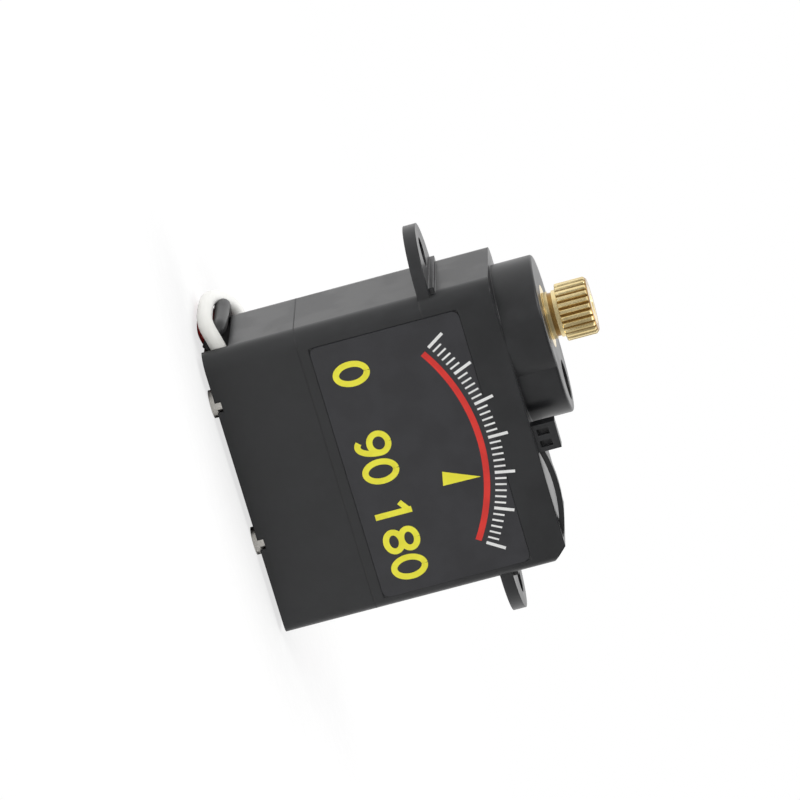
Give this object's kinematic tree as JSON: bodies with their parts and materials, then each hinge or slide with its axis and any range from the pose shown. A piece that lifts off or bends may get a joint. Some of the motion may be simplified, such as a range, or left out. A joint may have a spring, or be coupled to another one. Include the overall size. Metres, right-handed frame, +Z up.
{
  "type": "hobby servo motor",
  "caption": "Micro hobby servo motor: black case with two mounting ears, splined brass output shaft, full gear train inside and a wire lead with a plug.",
  "frame": {"origin": "middle of the footprint, on the surface under the case screws' heads", "axes": "+Z up along the output shaft, +X along the case from the shaft end to the motor end, -Y towards the label"},
  "size_m": [0.0276, 0.0256, 0.0258],
  "materials": {
    "case_plastic": "black satin moulded nylon",
    "label_film": "dark satin printed film",
    "screw_steel": "plated steel",
    "shaft_brass": "turned brass",
    "gear_metal": "hobbed brass",
    "motor_steel": "drawn nickel-plated can",
    "cap_plastic": "natural nylon",
    "tinned_metal": "tinned metal",
    "sensor_plastic": "blue moulded resin",
    "sensor_spindle": "white acetal",
    "board_laminate": "green lacquered laminate",
    "chip_epoxy": "black epoxy",
    "ceramic_tan": "tan ceramic",
    "wire_white": "white soft insulation",
    "wire_black": "black soft insulation",
    "wire_red": "red soft insulation",
    "coil_wires": "wound lead",
    "grommet_rubber": "black rubber",
    "plug_plastic": "black moulded housing",
    "contact_gold": "gold-plated contact"
  },
  "bodies": {
    "case": {"bottom_cover": "case_plastic", "middle_case": "case_plastic", "gear_case": "case_plastic", "label": "label_film", "case_screws": "screw_steel", "output_bush": "shaft_brass", "first_axle": "screw_steel", "second_axle": "screw_steel", "motor_can": "motor_steel", "motor_end_cap": "cap_plastic", "motor_terminals": "tinned_metal", "sensor_body": "sensor_plastic", "sensor_legs": "tinned_metal", "circuit_board": "board_laminate", "control_chip": "chip_epoxy", "driver_chips": "chip_epoxy", "capacitor": "ceramic_tan", "white_wire": "wire_white", "black_wire": "wire_black", "red_wire": "wire_red", "lead_grommet": "grommet_rubber", "lead_coil": "coil_wires", "plug_housing": "plug_plastic", "plug_contacts": "contact_gold"},
    "output": {"output_shaft": "shaft_brass", "output_gear": "gear_metal", "sensor_shaft": "sensor_spindle"},
    "third_stage": {"third_gear": "gear_metal"},
    "centre_stage": {"centre_gear": "gear_metal"},
    "second_stage": {"second_gear": "gear_metal"},
    "first_stage": {"first_gear": "gear_metal"},
    "rotor": {"motor_shaft": "screw_steel", "motor_pinion": "shaft_brass"}
  },
  "joints": [
    {"name": "output_turn", "type": "hinge", "parent": "case", "child": "output", "pos_m": [-0.0054, 0, 0.0238], "axis": [0, 0, 1], "range_deg": [-150, 150]},
    {"name": "third_gear_turn", "type": "hinge", "parent": "case", "child": "third_stage", "pos_m": [-0.0008, 0, 0.019], "axis": [0, 0, 1], "range_deg": [-396, 396]},
    {"name": "centre_gear_turn", "type": "hinge", "parent": "case", "child": "centre_stage", "pos_m": [-0.0054, 0, 0.018], "axis": [0, 0, 1], "range_deg": [-817.8, 817.8]},
    {"name": "second_gear_turn", "type": "hinge", "parent": "case", "child": "second_stage", "pos_m": [-0.0008, 0, 0.017], "axis": [0, 0, 1], "range_deg": [-1689.5, 1689.5]},
    {"name": "first_gear_turn", "type": "hinge", "parent": "case", "child": "first_stage", "pos_m": [0.0033, 0, 0.016], "axis": [0, 0, 1], "range_deg": [-6005.9, 6005.9]},
    {"name": "rotor_turn", "type": "hinge", "parent": "case", "child": "rotor", "pos_m": [0.0059, 0, 0.0155], "axis": [0, 0, 1], "range_deg": [-11344.1, 11344.1]}
  ],
  "couplings": [
    {"joint": "third_gear_turn", "follows": "output_turn", "ratio": -2.6364},
    {"joint": "centre_gear_turn", "follows": "output_turn", "ratio": 5.4485},
    {"joint": "second_gear_turn", "follows": "output_turn", "ratio": -11.26},
    {"joint": "first_gear_turn", "follows": "output_turn", "ratio": 40.036},
    {"joint": "rotor_turn", "follows": "output_turn", "ratio": -75.624}
  ]
}
